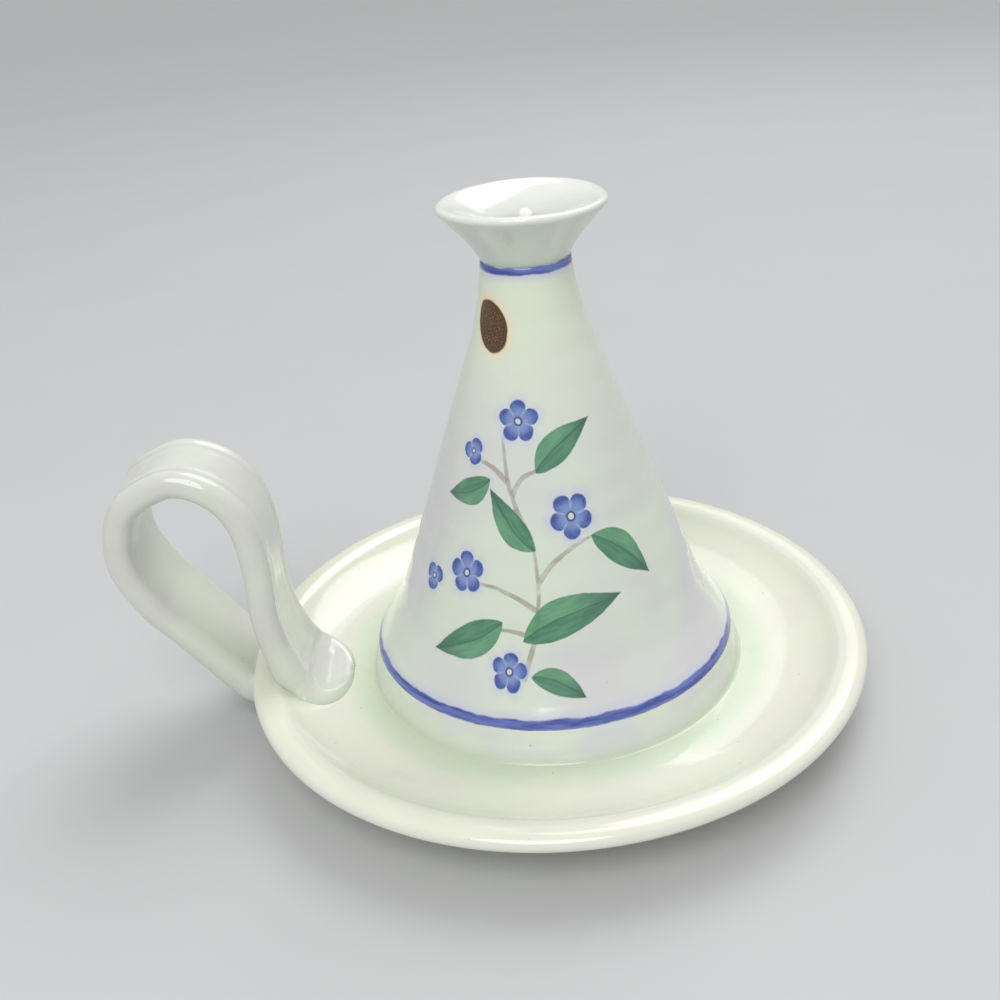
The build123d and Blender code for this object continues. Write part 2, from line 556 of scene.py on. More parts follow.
@dataclass(frozen=True)
class Motif:
    """One brushed motif: its angle round the cone, its height, and which way it points."""

    angle: float
    height: float
    tilt: float

    def lay(self, brush: Brush) -> None:
        """Paints the motif; each kind has its own way."""
        raise NotImplementedError


@dataclass(frozen=True)
class Leaf(Motif):
    """A leaf of two brushed halves, darker at its tip and along its rib."""

    length: float
    width: float
    bow: float = 1.5 * MM
    light: Colour = dye(96, 158, 118)
    deep: Colour = dye(40, 116, 84)
    tip: Colour = dye(22, 82, 66)
    streak: float = 1.3 * MM
    fold: Span = mm(-0.2, 0.6)
    rib: Span = mm(0.35, 0.1)
    rim: Span = mm(-0.9, -0.15)
    edge: Span = mm(0.05, -0.4)

    def lay(self, brush: Brush) -> None:
        """Paints the leaf from its stalk towards its tip.

        Args:
            brush: The material's nodes.
        """
        along, across, flat = brush.patch(self.angle, self.height, self.tilt)
        share = brush.share(along, self.length)
        arch = brush.sum("SINE", brush.sum("MULTIPLY", brush.sum("POWER", share, 0.75), math.pi))
        across = brush.sum("MULTIPLY_ADD", arch, -self.bow, across)
        off = brush.sum("ABSOLUTE", across)
        depth = brush.sum("MULTIPLY_ADD", arch, -self.width / 2, off)
        load = brush.streaks(flat, (0.16, 1.0, 1.0), self.streak)
        half = brush.rise(across, *self.fold, 0.55)
        ink = brush.shade(
            brush.blend(brush.sum("MULTIPLY_ADD", load, 0.45, half), self.deep, self.light),
            (share, 0.5, 1.0, 0.8, self.tip),
            (off, *self.rib, 0.55, self.tip),
            (depth, *self.rim, 0.3, self.tip),
        )
        brush.cover((depth, *self.edge, 0.93, ink))


@dataclass(frozen=True)
class Flower(Motif):
    """A flower of a few round cobalt petals that bleed a little into the glaze."""

    radius: float
    petals: int = 5
    ink: Colour = dye(34, 62, 146)
    middle: Colour = dye(66, 104, 180)
    pale: Colour = dye(158, 178, 220)
    eye: Colour = dye(226, 226, 206)
    halo: Colour = dye(198, 204, 228)
    grain: float = 2.6 * MM

    def lay(self, brush: Brush) -> None:
        """Paints the petals, the gaps between them and the eye.

        Args:
            brush: The material's nodes.
        """
        along, across, flat = brush.patch(self.angle, self.height, self.tilt)
        reach = brush.sum("LENGTH", flat, kind="ShaderNodeVectorMath").node.outputs["Value"]
        out = brush.sum("MULTIPLY", reach, 1 / self.radius)
        swing = brush.sum("MULTIPLY", brush.sum("ARCTAN2", across, along), self.petals / 2)
        roundness = brush.sum("ABSOLUTE", brush.sum("COSINE", swing))
        edge = brush.sum("MULTIPLY_ADD", brush.sum("POWER", roundness, 0.55), 0.4, 0.6)
        depth = brush.sum("SUBTRACT", out, edge)
        gap = brush.sum("MULTIPLY", brush.rise(roundness, 0.34, 0.1), brush.rise(out, 0.2, 0.4, 0.75))
        load = brush.mottle(flat, self.grain, 3.0)
        petal = brush.shade(self.ink, (load, 0.36, 0.64, 1.0, self.middle))
        petal = brush.shade(petal, (out, 0.85, 0.35, 0.5, self.pale))
        ink = brush.shade(
            brush.blend(gap, petal, self.pale),
            (depth, -0.2, -0.03, 0.5, self.ink),
            (out, 0.25, 0.19, 1.0, self.ink),
            (out, 0.16, 0.1, 0.9, self.eye),
        )
        brush.cover((depth, 0.5, 0.0, 0.55, self.halo), (depth, 0.03, -0.06, 0.94, ink))


@dataclass(frozen=True)
class Stem(Motif):
    """A thin bowed stroke of dilute brown that narrows along its way."""

    length: float
    bow: float = 2 * MM
    width: float = 1.7 * MM
    ink: Colour = dye(156, 148, 132)
    start: Span = mm(-0.4, 0.4)
    fade: float = 2 * MM
    grain: float = 5 * MM
    edge: Span = mm(0.15, -0.2)

    def lay(self, brush: Brush) -> None:
        """Paints the stroke from the motif's place.

        Args:
            brush: The material's nodes.
        """
        along, across, flat = brush.patch(self.angle, self.height, self.tilt)
        share = brush.share(along, self.length)
        arch = brush.sum("SINE", brush.sum("MULTIPLY", share, math.pi))
        off = brush.sum("ABSOLUTE", brush.sum("MULTIPLY_ADD", arch, -self.bow, across))
        depth = brush.sum("MULTIPLY_ADD", share, self.width / 4, brush.sum("SUBTRACT", off, self.width / 2))
        load = brush.rise(brush.mottle(flat, self.grain, 3.0), 0.1, 0.62, 0.75)
        for step in (
            brush.rise(along, *self.start),
            brush.rise(along, self.length, self.length - self.fade),
            brush.rise(depth, *self.edge),
        ):
            load = brush.sum("MULTIPLY", load, step)
        brush.colour = brush.blend(load, brush.colour, self.ink)


@dataclass(frozen=True)
class IronDab(Motif):
    """A plain oval dab of iron oxide, speckled gold, in a cream halo."""

    length: float
    width: float
    ink: Colour = dye(74, 52, 28)
    gold: Colour = dye(150, 112, 62)
    halo: Colour = dye(236, 222, 190)
    grain: float = 0.36 * MM

    def lay(self, brush: Brush) -> None:
        """Dabs the oval about the motif's place.

        Args:
            brush: The material's nodes.
        """
        along, across, flat = brush.patch(self.angle, self.height, self.tilt)
        ahead = brush.sum("MULTIPLY", along, 2 / self.length)
        aside = brush.sum("MULTIPLY", across, 2 / self.width)
        out = brush.sum("SQRT", brush.sum("MULTIPLY_ADD", ahead, ahead, brush.sum("MULTIPLY", aside, aside)))
        grains = brush.mottle(flat, self.grain, 2.0)
        ink = brush.shade(self.ink, (grains, 0.5, 0.72, 1.0, self.gold), (out, 0.78, 0.96, 0.7, self.ink))
        brush.cover((out, 1.45, 1.0, 0.9, self.halo), (out, 1.04, 0.94, 1.0, ink))


@dataclass(frozen=True)
class PaintedGlaze(StonewareGlaze):
    """The cone's glaze with its bands and brushed sprigs."""

    marks: tuple[Band | Motif, ...] = ()
    upper: Colour = dye(224, 232, 210)
    upper_heights: Span = mm(76, 126)
    wobble: float = 0.9 * MM
    wobble_grain: float = 6 * MM

    def paint(self, brush: Brush) -> None:
        """Paints the bands and motifs with a hand that shakes a little.

        Args:
            brush: The material's nodes.
        """
        noise_colour = brush.mottle(brush.place, self.wobble_grain, 4.0).node.outputs[1]
        shake = brush.sum("SUBTRACT", noise_colour, (0.5, 0.5, 0.5), kind="ShaderNodeVectorMath")
        swing = (self.wobble, self.wobble, self.wobble)
        brush.shaken = brush.sum("MULTIPLY_ADD", shake, swing, brush.place, kind="ShaderNodeVectorMath")
        # The cone is made lighter and greener towards its top
        brush.cover((brush.parts(brush.place)[2], *self.upper_heights, 0.75, self.upper))
        for mark in self.marks:
            mark.lay(brush)


Finishes = tuple[StonewareGlaze | BareClay, ...]

SPRIGS: tuple[Motif, ...] = (
    Stem(-104, 34 * MM, 86, 37 * MM, bow=-3 * MM),
    Stem(-100, 71 * MM, 104, 28 * MM, bow=2 * MM),
    Stem(-97, 60 * MM, 32, 19 * MM),
    Stem(-98, 52 * MM, 163, 21 * MM, bow=-2 * MM),
    Stem(-100, 45 * MM, 172, 11 * MM, bow=-0.8 * MM),
    Stem(-107, 78 * MM, 165, 7 * MM, bow=0.6 * MM),
    Stem(-112, 85.5 * MM, 154, 12 * MM, bow=-1 * MM),
    Stem(-109, 82 * MM, 40, 11 * MM),
    Leaf(-96, 88 * MM, 36, 20 * MM, 8.5 * MM),
    Leaf(-122, 86 * MM, 205, 17 * MM, 7.5 * MM),
    Leaf(-98, 68 * MM, 128, 20 * MM, 8 * MM),
    Leaf(-72, 70 * MM, 318, 23 * MM, 9 * MM),
    Leaf(-104, 44 * MM, 18, 30 * MM, 11 * MM, bow=2.5 * MM),
    Leaf(-112, 49 * MM, 208, 26 * MM, 9.5 * MM),
    Leaf(-101.5, 35 * MM, 340, 17 * MM, 6.5 * MM),
    Flower(-106, 101 * MM, 20, 5.6 * MM),
    Flower(-80, 76 * MM, 50, 6.2 * MM),
    Flower(-130, 60 * MM, 100, 5.8 * MM),
    Flower(-109, 36 * MM, 10, 5.2 * MM),
    Flower(-136, 92 * MM, 60, 3.6 * MM, petals=3),
    Flower(-149, 55 * MM, 150, 4.0 * MM, petals=3),
    IronDab(-137, 124.3 * MM, 118, 14.5 * MM, 10 * MM),
    Stem(86, 36 * MM, 84, 34 * MM),
    Leaf(88, 44 * MM, 30, 24 * MM, 9 * MM),
    Leaf(88, 52 * MM, 150, 22 * MM, 8.5 * MM),
    Flower(90, 73 * MM, 90, 6 * MM),
    Flower(113, 66 * MM, 40, 4.6 * MM),
    Stem(92, 58 * MM, 25, 13 * MM),
)


def set_down(name: str, data: bpy.types.ID) -> bpy.types.Object:
    """Makes an object of its data and puts it in the scene.

    Args:
        name: The object's name.
        data: Its mesh, lamp or camera.

    Returns:
        The object.
    """
    made = bpy.data.objects.new(name, data)
    bpy.context.scene.collection.objects.link(made)
    return made


@dataclass
class Piece:
    """One piece of the chamberstick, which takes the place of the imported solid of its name."""

    node: str
    slot: Slot
    finishes: Finishes

    def shape(self) -> Mesh:
        """Shapes the clay; each kind of piece has its own way."""
        raise NotImplementedError

    def depth(self, place: Vector) -> float:
        """Depth of the glaze at a place, from -1 where it broke thin to 1 where it pooled; in the cup, below
        0 also carries painted light.
        """
        raise NotImplementedError

    def make(self) -> bpy.types.Object:
        """Shapes the piece, glazes it and sets it in its solid's place.

        Returns:
            The finished piece.
        """
        mesh = self.shape()
        data = bpy.data.meshes.new(self.node)
        mesh.to_mesh(data)
        mesh.free()
        data.shade_smooth()
        # Glaze depth, which in the cup also carries painted light on its inside and lip
        pooled = data.attributes.new(GLAZE_DEPTH_AND_PAINTED_LIGHT, "FLOAT", "POINT")
        pooled.data.foreach_set("value", [self.depth(vertex.co) for vertex in data.vertices])
        for finish in self.finishes:
            data.materials.append(finish.make())
        piece = set_down(f"glazed_{self.node}", data)
        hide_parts(self.node)
        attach(piece, Body.ROOT.value)
        low, high = piece.bound_box[0], piece.bound_box[6]
        log.info("%s: %d faces, from %s to %s", piece.name, len(data.polygons), tuple(low), tuple(high))
        return piece


@dataclass
class TurnedPiece(Piece):
    """A piece turned on the wheel: its outline is spun, then worked by hand."""

    steps: int
    closed: bool = True
    low: Vector = field(init=False)
    high: Vector = field(init=False)

    def __post_init__(self) -> None:
        """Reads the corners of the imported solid's box."""
        self.low, self.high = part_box(self.node)

    def outline(self) -> Outline:
        """Draws the profile; each piece has its own."""
        raise NotImplementedError

    def worked(self, place: Vector) -> Vector:
        """Where a place of the spun piece ends when the hand has worked it."""
        raise NotImplementedError

    def is_second(self, face: bmesh.types.BMFace) -> bool:
        """Whether a face has the second of the finishes."""
        return False

    def shape(self) -> Mesh:
        """Spins the outline, works it and sorts its faces by finish.

        Returns:
            The closed mesh.
        """
        mesh = self.outline().spin(self.steps, self.closed)
        for vertex in mesh.verts:
            vertex.co = self.worked(vertex.co.copy())
        for face in mesh.faces:
            face.material_index = int(self.is_second(face))
        return mesh


@dataclass
class Saucer(TurnedPiece):
    """The shallow thrown dish with its rolled lip and foot ring."""

    node: str = "saucer"
    slot: Slot = Slot.SAUCER
    steps: int = 288
    closed: bool = False
    finishes: Finishes = (
        StonewareGlaze(
            "saucer_glaze",
            body=dye(230, 232, 214),
            thin=dye(232, 234, 226),
            pooled=dye(204, 218, 194),
            drift=dye(226, 226, 212),
        ),
        BareClay(),
    )
    lip_height: float = 20 * MM
    lip_width: float = 8.4 * MM
    lip_crown: float = 0.9 * MM
    lip_thickness: float = 4.8 * MM
    crown_width: float = 3.2 * MM
    floor_height: float = 12.4 * MM
    floor_radius: float = 66.7 * MM
    recess_height: float = 6 * MM
    ring_radius: float = 62.5 * MM
    ring_width: float = 6 * MM
    ring_round: float = 1.3 * MM
    ring_root: float = 1.8 * MM
    ring_draft: float = 0.5 * MM
    ring_taper: float = 0.1 * MM
    belly_gap: float = 1.6 * MM
    line_step: Span = mm(0.4, 0.5)
    under_step: float = 1.6 * MM
    # Where each bend's two handles lie from its start and from its end
    wall_bend: Handles = (mm(8, 0.3), mm(-5, -4.1))
    rise_bend: Handles = (mm(1, 0.8), mm(-1.56, -0.05))
    crown_bend: Handles = (mm(2.8, 0), mm(0, 2.016))
    nose_bend: Handles = (mm(0, -1.3), mm(0.5, 0.6))
    belly_bend: Handles = (mm(-8, -4.2), mm(7.4, 0.6))
    wave_height: float = 0.02 * MM
    wave_pitch: float = 6.5 * MM
    wave_grain: float = 30 * MM
    wave_start: Span = mm(64, 70)
    wave_end: Span = mm(84, 78)
    warp: float = 0.25 * MM
    skin: float = 1 * MM
    nose_glaze: Span = mm(18, 2.2)
    # Depth, radius and width of each ring of glaze, and the heights between which it sets in
    glaze_rings: tuple = (
        (0.8, *mm(60.5, 6, 9, 11)),
        (0.3, *mm(84, 2.2, 15, 17)),
        (-0.7, *mm(87, 1.1, 19, 20)),
    )

    def outline(self) -> Outline:
        """Draws the profile from the middle of the floor out, round the lip and back below.

        Returns:
            The outline.
        """
        lip, ring, top = self.high.x, self.ring_radius, self.recess_height
        inner, inside = lip - self.lip_width, ring - self.ring_width
        crown = self.lip_height + self.lip_crown
        edge = lip - 0.3 * self.lip_thickness - self.crown_width
        nose = self.lip_height - 0.42 * self.lip_thickness
        under = self.lip_height - 0.92 * self.lip_thickness
        draw = Outline(0.0, self.floor_height)
        draw.line(self.floor_radius, self.floor_height, 64)
        draw.bend(*self.wall_bend, inner - self.line_step[0], self.lip_height - self.line_step[1], 22)
        draw.bend(*self.rise_bend, edge, crown, 10)
        draw.bend(*self.crown_bend, lip, nose, 16)
        draw.bend(*self.nose_bend, lip - self.under_step, under, 6)
        draw.bend(*self.belly_bend, ring + self.belly_gap, top, 26)
        draft = self.ring_draft + self.ring_taper
        draw.round((ring, top), (ring - self.ring_taper, top - self.ring_root), 5)
        draw.line(ring - self.ring_draft, self.ring_round, 4)
        draw.round((ring - draft, 0.0), (ring - draft - self.ring_round, 0.0), 5)
        draw.line(inside + self.ring_round, 0.0, 3)
        draw.round((inside, 0.0), (inside - self.ring_taper, self.ring_round), 5)
        draw.line(inside - self.ring_draft, top - self.ring_root, 4)
        draw.round((inside - draft, top), (inside - draft - self.ring_root, top), 5)
        draw.line(0.0, top, 30)
        return draw

    def worked(self, place: Vector) -> Vector:
        """Gives the dish its faint finger rings and the slight warp of its lip.

        Args:
            place: A place of the spun dish.

        Returns:
            Where it ends.
        """
        radius, angle = polar(place)
        on_floor = ease(place.z, self.recess_height + self.skin, self.floor_height - self.skin)
        on_floor *= ease(radius, *self.wave_start) * ease(radius, *self.wave_end)
        swell = self.wave_height * (0.6 + 0.8 * ripple(place, self.wave_grain))
        lift = on_floor * swell * (math.sin(FULL_TURN * radius / self.wave_pitch + angle) - 1)
        out = self.warp * ease(radius, self.floor_radius, self.high.x)
        lift -= out * (0.5 + 0.35 * math.sin(2 * angle + 0.8) + 0.15 * math.sin(5 * angle))
        draw_in = out * wave(angle, 3, -1.6) / max(radius, MM)
        return place + Vector((-place.x * draw_in, -place.y * draw_in, lift))

    def depth(self, place: Vector) -> float:
        """Glaze pools round the coil, inside the lip's line and by the ring, and thins on the lip.

        Args:
            place: Where the depth is read.

        Returns:
            The depth.
        """
        radius, (height, reach) = math.hypot(place.x, place.y), self.nose_glaze
        deep = -0.6 * hump(math.hypot(radius - self.high.x, place.z - height), reach)
        for share, middle, width, low, high in self.glaze_rings:
            deep += share * hump(radius - middle, width) * ease(place.z, low, high)
        return deep

    def is_second(self, face: bmesh.types.BMFace) -> bool:
        """Whether a face is on the foot ring, where the clay is bare."""
        return face.calc_center_median().z < self.ring_round and abs(face.normal.z) > 0.3


@dataclass
class StemCone(TurnedPiece):
    """The hollow thrown cone with its flared foot and drawn-in neck."""

    node: str = "stem_cone"
    slot: Slot = Slot.CONE
    steps: int = 224
    finishes: Finishes = (
        PaintedGlaze(
            "cone_glaze",
            body=dye(216, 226, 210),
            thin=dye(226, 229, 221),
            pooled=dye(190, 207, 198),
            drift=dye(212, 211, 214),
            drift_grain=46 * MM,
            speck_radius=0.16 * MM,
            marks=(Band(24.0 * MM, 2.7 * MM), Band(138.9 * MM, 2.1 * MM), *SPRIGS),
        ),
        StonewareGlaze(
            "bore_glaze",
            body=dye(208, 214, 202),
            thin=dye(222, 224, 216),
            pooled=dye(188, 203, 184),
            drift=dye(204, 208, 200),
        ),
    )
    skirt_radius: float = 53 * MM
    skirt_wall: float = 5.4 * MM
    edge_foot: float = 21.8 * MM
    edge_round: float = 1.1 * MM
    edge_step: Span = mm(0.8, 0.4)
    flare_radius: float = 44.6 * MM
    flare_height: float = 41 * MM
    flare_reach: float = 8.6 * MM
    shoulder_radius: float = 17.9 * MM
    shoulder_height: float = 115 * MM
    shoulder_reach: float = 7.8 * MM
    neck_radius: float = 12.3 * MM
    wall: float = 4.3 * MM
    neck_wall: float = 3.3 * MM
    # Where handles lie from the edge, the neck and the inside's two ends
    edge_handle: Span = mm(-0.4, 2.3)
    neck_handle: Span = mm(0.9, -9)
    bore_handle: Span = mm(0, -8)
    foot_handle: Span = mm(-1, 9)
    wave_height: float = 0.1 * MM
    wave_pitch: float = 9 * MM
    wave_grain: float = 26 * MM
    lump_height: float = 0.28 * MM
    lump_grain: float = 38 * MM
    free_above: Span = mm(1, 12)
    free_below: Span = mm(2, 10)
    edge_glaze: Span = mm(1, 1.4)
    crease_reach: float = 1.6 * MM

    def outline(self) -> Outline:
        """Draws the wall's profile: up the outside, over the neck and down the bore.

        Returns:
            The outline.
        """
        foot, edge, neck = self.low.z, self.high.x, self.high.z
        flare = Vector((self.flare_radius, self.flare_height))
        shoulder = Vector((self.shoulder_radius, self.shoulder_height))
        along = (shoulder - flare).normalized()
        inward = Vector((-along.y, along.x)) * self.wall
        flare_handle, shoulder_handle = -along * self.flare_reach, along * self.shoulder_reach
        draw = Outline(self.skirt_radius, foot)
        draw.line(self.skirt_radius, self.edge_foot - self.edge_step[1], 4)
        draw.line(edge - self.edge_step[0], self.edge_foot, 3)
        draw.round((edge, self.edge_foot), (edge, self.edge_foot + self.edge_round), 4)
        draw.bend(self.edge_handle, flare_handle, *flare, 22)
        draw.line(*shoulder, 76)
        draw.bend(shoulder_handle, self.neck_handle, self.neck_radius, neck, 24)
        draw.line(self.neck_radius - self.neck_wall, neck, 3)
        draw.bend(self.bore_handle, shoulder_handle, *(shoulder + inward), 12)
        draw.line(*(flare + inward), 24)
        draw.bend(flare_handle, self.foot_handle, self.skirt_radius - self.skirt_wall, foot, 12)
        return draw

    def worked(self, place: Vector) -> Vector:
        """Leaves the rising spiral of the potter's fingers and a slight unevenness.

        Args:
            place: A place of the spun cone.

        Returns:
            Where it ends.
        """
        radius, angle = polar(place)
        free = ease(place.z - self.edge_foot, *self.free_above)
        free *= ease(self.high.z - place.z, *self.free_below)
        spiral = math.sin(FULL_TURN * place.z / self.wave_pitch + angle)
        shift = self.wave_height * spiral * (0.6 + 0.7 * ripple(place, self.wave_grain))
        shift += self.lump_height * ripple(place, self.lump_grain)
        return place + Vector((place.x, place.y, 0.0)) * (shift * free / radius)

    def depth(self, place: Vector) -> float:
        """Glaze thins on the flared edge and gathers in the crease under the cup.

        Args:
            place: Where the depth is read.

        Returns:
            The depth.
        """
        rise, reach = self.edge_glaze
        out, up = math.hypot(place.x, place.y) - self.high.x, place.z - self.edge_foot - rise
        crease = 0.8 * hump(place.z - self.high.z, self.crease_reach)
        return crease - 0.5 * hump(math.hypot(out, up), reach)

    def is_second(self, face: bmesh.types.BMFace) -> bool:
        """Whether a face looks at the axis, where no paint is."""
        return face.normal.xy.dot(face.calc_center_median().xy) < 0


@dataclass
class FootCoil(TurnedPiece):
    """The roll of clay smoothed into the angle round the cone's foot."""

    node: str = "cone_foot_coil"
    slot: Slot = Slot.POOLED
    steps: int = 224
    finishes: Finishes = (
        StonewareGlaze(
            "pooled_glaze",
            body=dye(220, 228, 212),
            thin=dye(228, 233, 220),
            pooled=dye(202, 217, 194),
            drift=dye(216, 218, 222),
            drift_grain=20 * MM,
        ),
    )
    inner_radius: float = 53 * MM
    face_radius: float = 54.9 * MM
    lean: float = 1.7 * MM
    toe_rise: float = 2.2 * MM
    toe_reach: float = 0.5 * MM
    sink: float = 0.1 * MM
    overlap: float = 0.7 * MM
    top_width: float = 0.4 * MM
    top_round: Span = mm(0.03, 0.3)
    toe_bend: Handles = (mm(0.5, -1.6), mm(-1.7, 0.15))
    dint: float = 0.3 * MM
    dint_grain: float = 9 * MM
    dint_edge: float = 0.5 * MM
    free_above: Span = mm(1, 3)
    free_below: Span = mm(0.6, 3)
    pool_reach: float = 3 * MM

    def outline(self) -> Outline:
        """Draws the coil's section: its leaning face, the hollow toe and its bed.

        Returns:
            The outline.
        """
        top, bed, face = self.high.z + self.overlap, self.low.z - self.sink, self.face_radius
        draw = Outline(self.inner_radius, self.high.z)
        draw.line(face - self.top_width, top, 3)
        draw.round((face, top), (face + self.top_round[0], top - self.top_round[1]), 3)
        draw.line(face + self.lean, self.low.z + self.toe_rise, 8)
        draw.bend(*self.toe_bend, self.high.x + self.toe_reach, bed, 8)
        draw.line(self.inner_radius, bed, 2)
        return draw

    def worked(self, place: Vector) -> Vector:
        """Leaves the shallow dints of the thumb that smoothed the coil in.

        Args:
            place: A place of the spun coil.

        Returns:
            Where it ends.
        """
        radius = math.hypot(place.x, place.y)
        free = ease(radius, self.inner_radius + self.dint_edge, self.face_radius)
        free *= ease(place.z - self.low.z, *self.free_above) * ease(self.high.z - place.z, *self.free_below)
        deep = self.dint * free * (0.5 + 0.5 * ripple(place, self.dint_grain))
        return place - Vector((place.x, place.y, 0.0)) * (deep / radius)

    def depth(self, place: Vector) -> float:
        """Glaze pools at the toe."""
        return 0.8 * hump(place.z - self.low.z, self.pool_reach)


@dataclass
class CandleCup(TurnedPiece):
    """The flared mouth that takes the candle, luted on at the neck a little askew."""

    node: str = "candle_cup"
    slot: Slot = Slot.CUP
    steps: int = 160
    finishes: Finishes = (
        StonewareGlaze(
            "cup_glaze",
            body=dye(214, 221, 209),
            # The thin colour also lays the painted light on the cup's inside and lip
            thin=dye(233, 235, 228),
            pooled=dye(190, 206, 190),
            drift=dye(208, 213, 205),
            drift_grain=18 * MM,
            speck_radius=0.16 * MM,
        ),
    )
    neck_radius: float = 12.3 * MM
    throat_radius: float = 9 * MM
    throat_length: float = 4.5 * MM
    seat_gap: float = 0.3 * MM
    lip_step: Span = mm(0.7, 2.2)
    lip_round: float = 1.7 * MM
    outside_bend: Handles = (mm(2.2, 4.8), mm(-4.3, -4.84))
    lip_bend: Handles = (mm(0.8, 0.8), mm(1.8, 0))
    inside_bend: Handles = (mm(-3.3, -0.2), mm(0.4, 7))
    tilt: float = math.radians(0.4)
    lean_height: float = 9 * MM
    slack: float = 0.25 * MM
    lobes: Span = mm(0.16, 0.08)
    # Heights and gap over which the cup's inside is painted paler, as painted light
    lit_inside_rise: Span = mm(7, 9)
    lit_inside_gap: Span = mm(0, -0.9)
    neck_reach: float = 2 * MM
    lip_reach: Span = mm(0.6, 1.1)

    def outline(self) -> Outline:
        """Draws the cup's wall: up the flaring outside, over the lip and down into the throat.

        Returns:
            The outline.
        """
        seat, wide, throat = self.low.z, self.high.x, self.throat_radius
        top = self.high.z - math.sin(self.tilt) * wide
        draw = Outline(self.neck_radius, seat)
        draw.bend(*self.outside_bend, wide - self.lip_step[0], top - self.lip_step[1], 28)
        draw.bend(*self.lip_bend, wide - self.lip_round, top, 12)
        draw.bend(*self.inside_bend, throat, seat + self.throat_length, 30)
        draw.line(throat, seat, 6)
        draw.line(self.neck_radius - self.seat_gap, seat, 3)
        return draw

    def worked(self, place: Vector) -> Vector:
        """Leans the mouth and makes its lip a little uneven.

        Args:
            place: A place of the spun cup.

        Returns:
            Where it ends.
        """
        radius, angle = polar(place)
        share = ease(place.z - self.low.z, 0.0, self.lean_height)
        seat = Vector((0.0, 0.0, self.low.z))
        leant = place.lerp(seat + Matrix.Rotation(self.tilt, 3, "Y") @ (place - seat), share)
        uneven = self.lobes[0] * math.sin(3 * angle + 1.1) + self.lobes[1] * math.sin(7 * angle)
        draw_in = share * share * (self.slack + uneven) / radius
        sag = share * share * self.slack * wave(angle, 2, 2.0)
        return leant - Vector((place.x * draw_in, place.y * draw_in, sag))

    def depth(self, place: Vector) -> float:
        """Glaze gathers at the neck; the lip is paler where its glaze runs thin and as a painted highlight,
        and the inside is painted paler as painted light.

        Args:
            place: Where the depth is read.

        Returns:
            The depth.
        """
        rise = place.z - self.low.z
        off = math.hypot(place.x, place.y) - self.neck_radius - 0.6 * rise
        # Painted light: the cup's inside is made paler, as if lit from above
        inside = ease(rise, *self.lit_inside_rise) * ease(off, *self.lit_inside_gap)
        # The lip is paler where its glaze runs thin, made stronger as a painted highlight on its lit top
        drop, reach = self.lip_reach
        lip = hump(place.z - self.high.z + drop, reach)
        return 0.7 * hump(rise, self.neck_reach) - 0.7 * inside - 0.8 * lip


class Station(NamedTuple):
    """One place along the strap: its middle, and the section there."""

    middle: Vector
    width: float
    thickness: float
    hollow: float
    bead: float


